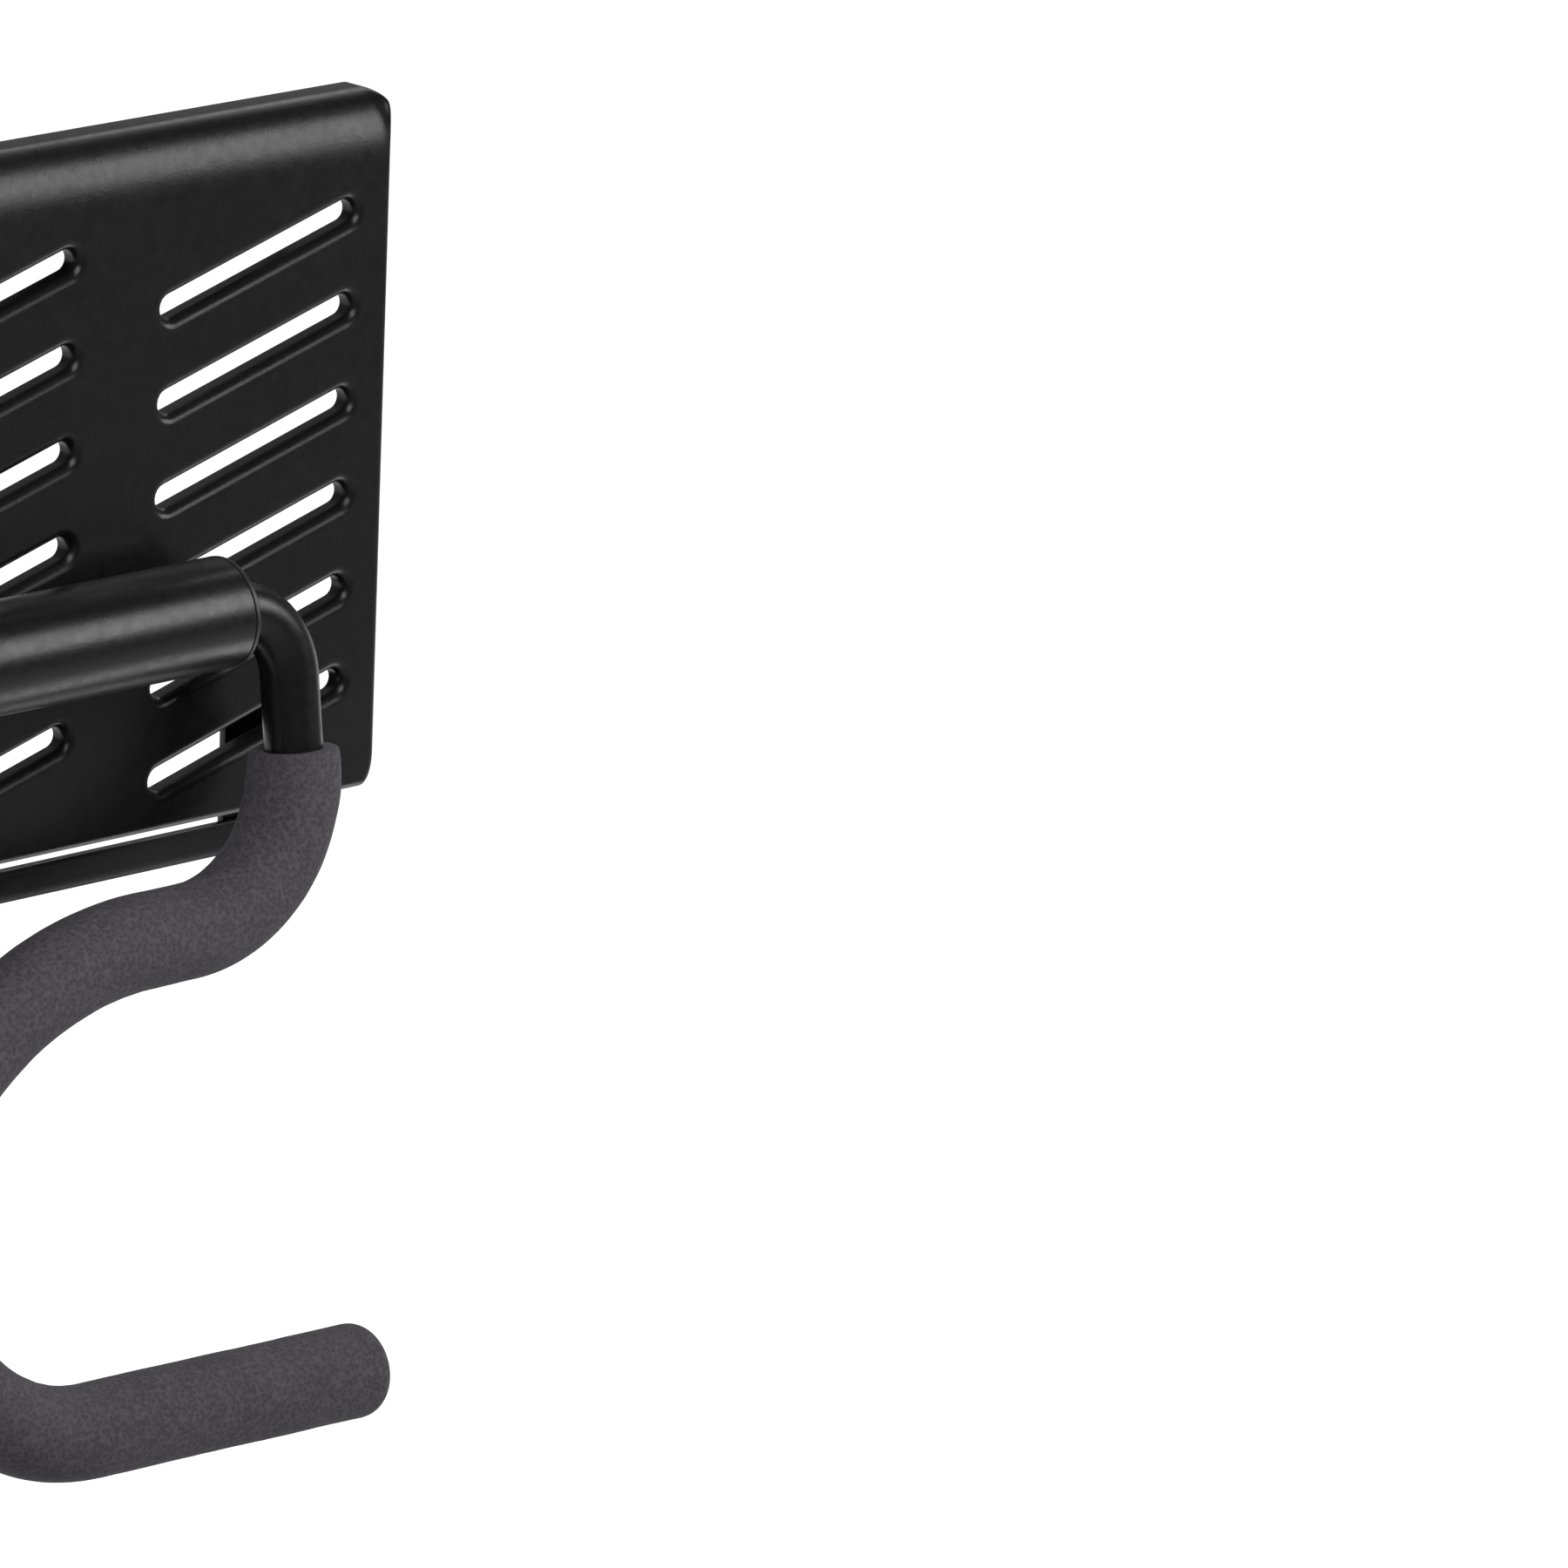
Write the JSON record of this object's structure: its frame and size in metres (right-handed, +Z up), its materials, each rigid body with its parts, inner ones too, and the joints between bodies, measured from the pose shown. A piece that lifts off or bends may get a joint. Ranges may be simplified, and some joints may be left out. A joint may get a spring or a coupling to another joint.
{
  "type": "bicycle wall rack",
  "caption": "Slotted steel wall panel with a round cross tube and foam-padded curved hooks that slide and swing to hang a bicycle by its wheel.",
  "frame": {"origin": "centre of the upper wall rail's back face, on the wall", "axes": "+X along the cross tube to the right as seen from the room, +Y into the wall, +Z up"},
  "size_m": [0.618, 0.0956, 0.4452],
  "materials": {
    "powder_coat": "satin black powder coat on sheet and tube steel",
    "foam": "matte charcoal closed-cell foam rubber with a fine cut-cell grain",
    "zinc": "zinc-plated steel",
    "nylon": "moulded black nylon, matte"
  },
  "bodies": {
    "rack": {"back_panel": "powder_coat", "cross_tube": "powder_coat", "knob_boss_left": "zinc", "knob_boss_right": "zinc", "lower_wall_rail": "powder_coat", "panel_screw_lower_left": "zinc", "panel_screw_lower_right": "zinc", "panel_screw_upper_left": "zinc", "panel_screw_upper_right": "zinc", "rail_rivet_left": "zinc", "rail_rivet_right": "zinc", "rail_upright_left": "powder_coat", "rail_upright_right": "powder_coat", "strap_bolt_left_lower": "zinc", "strap_bolt_left_upper": "zinc", "strap_bolt_right_lower": "zinc", "strap_bolt_right_upper": "zinc", "strap_nut_left_lower": "zinc", "strap_nut_left_upper": "zinc", "strap_nut_right_lower": "zinc", "strap_nut_right_upper": "zinc", "tube_end_bush_left": "nylon", "tube_end_bush_right": "nylon", "tube_seat_left": "nylon", "tube_seat_right": "nylon", "tube_strap_left": "powder_coat", "tube_strap_right": "powder_coat", "upper_wall_rail": "powder_coat"},
    "left_carriage": {"guide_bush_left": "nylon"},
    "left_hook": {"arm_tube_left": "powder_coat", "foam_sleeve_left": "foam", "tip_plug_left": "nylon", "stub_insert_left": "zinc", "stop_washer_left": "zinc", "stop_bolt_left": "zinc", "retaining_ring_left": "zinc"},
    "left_knob": {"lock_knob_left": "nylon", "lock_stud_left": "zinc"},
    "right_carriage": {"guide_bush_right": "nylon"},
    "right_hook": {"arm_tube_right": "powder_coat", "foam_sleeve_right": "foam", "tip_plug_right": "nylon", "stub_insert_right": "zinc", "stop_washer_right": "zinc", "stop_bolt_right": "zinc", "retaining_ring_right": "zinc"},
    "right_knob": {"lock_knob_right": "nylon", "lock_stud_right": "zinc"}
  },
  "joints": [
    {"name": "left_hook_slide", "type": "slide", "parent": "rack", "child": "left_carriage", "axis": [-1, 0, 0], "range_m": [0, 0.04]},
    {"name": "left_hook_swing", "type": "hinge", "parent": "left_carriage", "child": "left_hook", "pos_m": [-0.2176, -0.046, -0.1424], "axis": [-1, 0, 0], "range_deg": [0, 82.8]},
    {"name": "left_knob_turn", "type": "hinge", "parent": "rack", "child": "left_knob", "pos_m": [-0.095, -0.046, -0.1714], "axis": [0, 0, -1], "range_deg": [0, 360]},
    {"name": "right_hook_slide", "type": "slide", "parent": "rack", "child": "right_carriage", "axis": [1, 0, 0], "range_m": [0, 0.04]},
    {"name": "right_hook_swing", "type": "hinge", "parent": "right_carriage", "child": "right_hook", "pos_m": [0.2176, -0.046, -0.1424], "axis": [-1, 0, 0], "range_deg": [0, 82.8]},
    {"name": "right_knob_turn", "type": "hinge", "parent": "rack", "child": "right_knob", "pos_m": [0.095, -0.046, -0.1714], "axis": [0, 0, -1], "range_deg": [0, 360]}
  ]
}
